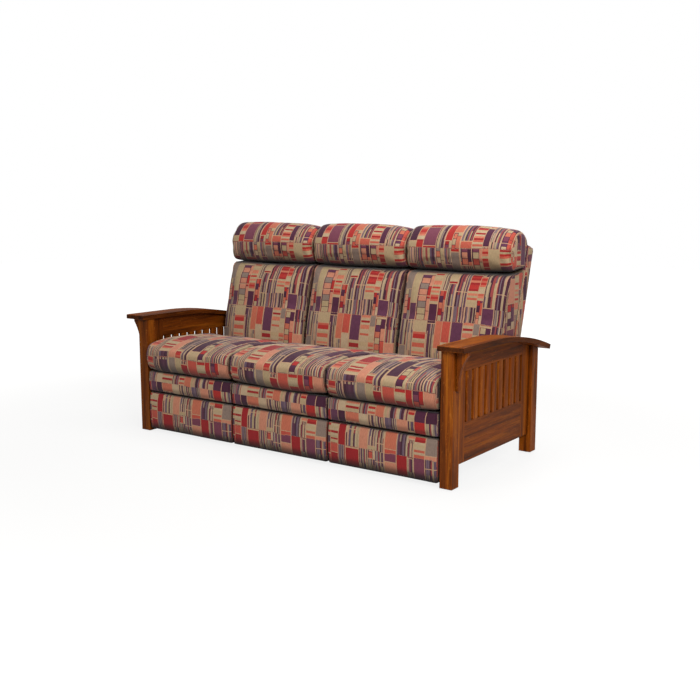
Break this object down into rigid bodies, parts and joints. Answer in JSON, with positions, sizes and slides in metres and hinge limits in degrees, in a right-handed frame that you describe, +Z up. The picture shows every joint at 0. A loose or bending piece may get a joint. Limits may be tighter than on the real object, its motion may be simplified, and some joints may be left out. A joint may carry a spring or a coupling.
{
  "type": "reclining sofa",
  "caption": "Wide upholstered sofa with slatted oak ends and bowed arm boards; each seat slides as its back reclines and a padded footrest swings up on links.",
  "frame": {"origin": "centre of the base of the bounding box, on the floor", "axes": "+X along the sofa's width, -Y the way it faces, +Z up"},
  "size_m": [2.13, 0.9997, 1.1557],
  "materials": {
    "oak": "satin stained oak",
    "pine": "plain sawn",
    "patterned_fabric": "woven patchwork",
    "plain_fabric": "woven plain",
    "webbing": "elastic webbing",
    "black_steel": "black powder coat",
    "zinc": "zinc plated",
    "nylon": "moulded nylon"
  },
  "bodies": {
    "frame": {"arm_boards": "oak", "front_posts": "oak", "rear_posts": "oak", "corbels": "oak", "top_rails": "oak", "bottom_rails": "oak", "stiles": "oak", "slats": "oak", "front_cross_rail": "pine", "rear_cross_rail": "pine", "corner_blocks": "pine", "base_rails": "black_steel", "floor_glides": "nylon"},
    "seat_left": {"seat_cushion_left": "patterned_fabric", "seat_frame_left": "pine", "seat_webbing_left": "webbing", "front_band_left": "patterned_fabric", "side_plates_left": "black_steel", "pivot_rivets_left": "zinc"},
    "back_left": {"back_shell_left": "plain_fabric", "back_cushion_left": "patterned_fabric", "head_pillow_left": "patterned_fabric", "hinge_brackets_left": "black_steel"},
    "swing_left": {"swing_links_left": "black_steel"},
    "riser_left": {"riser_links_left": "black_steel", "link_rivets_left": "zinc"},
    "footrest_left": {"footrest_panel_left": "patterned_fabric", "footrest_brackets_left": "black_steel"},
    "seat_middle": {"seat_cushion_middle": "patterned_fabric", "seat_frame_middle": "pine", "seat_webbing_middle": "webbing", "front_band_middle": "patterned_fabric", "side_plates_middle": "black_steel", "pivot_rivets_middle": "zinc"},
    "back_middle": {"back_shell_middle": "plain_fabric", "back_cushion_middle": "patterned_fabric", "head_pillow_middle": "patterned_fabric", "hinge_brackets_middle": "black_steel"},
    "swing_middle": {"swing_links_middle": "black_steel"},
    "riser_middle": {"riser_links_middle": "black_steel", "link_rivets_middle": "zinc"},
    "footrest_middle": {"footrest_panel_middle": "patterned_fabric", "footrest_brackets_middle": "black_steel"},
    "seat_right": {"seat_cushion_right": "patterned_fabric", "seat_frame_right": "pine", "seat_webbing_right": "webbing", "front_band_right": "patterned_fabric", "side_plates_right": "black_steel", "pivot_rivets_right": "zinc"},
    "back_right": {"back_shell_right": "plain_fabric", "back_cushion_right": "patterned_fabric", "head_pillow_right": "patterned_fabric", "hinge_brackets_right": "black_steel"},
    "swing_right": {"swing_links_right": "black_steel"},
    "riser_right": {"riser_links_right": "black_steel", "link_rivets_right": "zinc"},
    "footrest_right": {"footrest_panel_right": "patterned_fabric", "footrest_brackets_right": "black_steel"}
  },
  "joints": [
    {"name": "seat_slide_left", "type": "slide", "parent": "frame", "child": "seat_left", "axis": [0, -1, 0], "range_m": [0, 0.07]},
    {"name": "recline_left", "type": "hinge", "parent": "seat_left", "child": "back_left", "pos_m": [-0.62, 0.2415, 0.285], "axis": [-1, 0, 0], "range_deg": [0, 28.01]},
    {"name": "footrest_swing_left", "type": "hinge", "parent": "seat_left", "child": "swing_left", "pos_m": [-0.62, -0.3685, 0.17], "axis": [-1, 0, 0], "range_deg": [0, 130]},
    {"name": "riser_pivot_left", "type": "hinge", "parent": "swing_left", "child": "riser_left", "pos_m": [-0.62, -0.322, 0.0703], "axis": [-1, 0, 0], "range_deg": [-159.4, 0]},
    {"name": "board_pivot_left", "type": "hinge", "parent": "riser_left", "child": "footrest_left", "pos_m": [-0.62, -0.352, 0.1865], "axis": [-1, 0, 0], "range_deg": [0, 109.5]},
    {"name": "seat_slide_middle", "type": "slide", "parent": "frame", "child": "seat_middle", "axis": [0, -1, 0], "range_m": [0, 0.07]},
    {"name": "recline_middle", "type": "hinge", "parent": "seat_middle", "child": "back_middle", "pos_m": [0, 0.2415, 0.285], "axis": [-1, 0, 0], "range_deg": [0, 28.01]},
    {"name": "footrest_swing_middle", "type": "hinge", "parent": "seat_middle", "child": "swing_middle", "pos_m": [0, -0.3685, 0.17], "axis": [-1, 0, 0], "range_deg": [0, 130]},
    {"name": "riser_pivot_middle", "type": "hinge", "parent": "swing_middle", "child": "riser_middle", "pos_m": [0, -0.322, 0.0703], "axis": [-1, 0, 0], "range_deg": [-159.4, 0]},
    {"name": "board_pivot_middle", "type": "hinge", "parent": "riser_middle", "child": "footrest_middle", "pos_m": [0, -0.352, 0.1865], "axis": [-1, 0, 0], "range_deg": [0, 109.5]},
    {"name": "seat_slide_right", "type": "slide", "parent": "frame", "child": "seat_right", "axis": [0, -1, 0], "range_m": [0, 0.07]},
    {"name": "recline_right", "type": "hinge", "parent": "seat_right", "child": "back_right", "pos_m": [0.62, 0.2415, 0.285], "axis": [-1, 0, 0], "range_deg": [0, 28.01]},
    {"name": "footrest_swing_right", "type": "hinge", "parent": "seat_right", "child": "swing_right", "pos_m": [0.62, -0.3685, 0.17], "axis": [-1, 0, 0], "range_deg": [0, 130]},
    {"name": "riser_pivot_right", "type": "hinge", "parent": "swing_right", "child": "riser_right", "pos_m": [0.62, -0.322, 0.0703], "axis": [-1, 0, 0], "range_deg": [-159.4, 0]},
    {"name": "board_pivot_right", "type": "hinge", "parent": "riser_right", "child": "footrest_right", "pos_m": [0.62, -0.352, 0.1865], "axis": [-1, 0, 0], "range_deg": [0, 109.5]}
  ],
  "couplings": [
    {"joint": "recline_left", "follows": "seat_slide_left", "rad_per_m": 6.9813},
    {"joint": "riser_pivot_left", "follows": "footrest_swing_left", "ratio": -1.2261},
    {"joint": "board_pivot_left", "follows": "footrest_swing_left", "ratio": 0.8415},
    {"joint": "recline_middle", "follows": "seat_slide_middle", "rad_per_m": 6.9813},
    {"joint": "riser_pivot_middle", "follows": "footrest_swing_middle", "ratio": -1.2261},
    {"joint": "board_pivot_middle", "follows": "footrest_swing_middle", "ratio": 0.8415},
    {"joint": "recline_right", "follows": "seat_slide_right", "rad_per_m": 6.9813},
    {"joint": "riser_pivot_right", "follows": "footrest_swing_right", "ratio": -1.2261},
    {"joint": "board_pivot_right", "follows": "footrest_swing_right", "ratio": 0.8415}
  ]
}
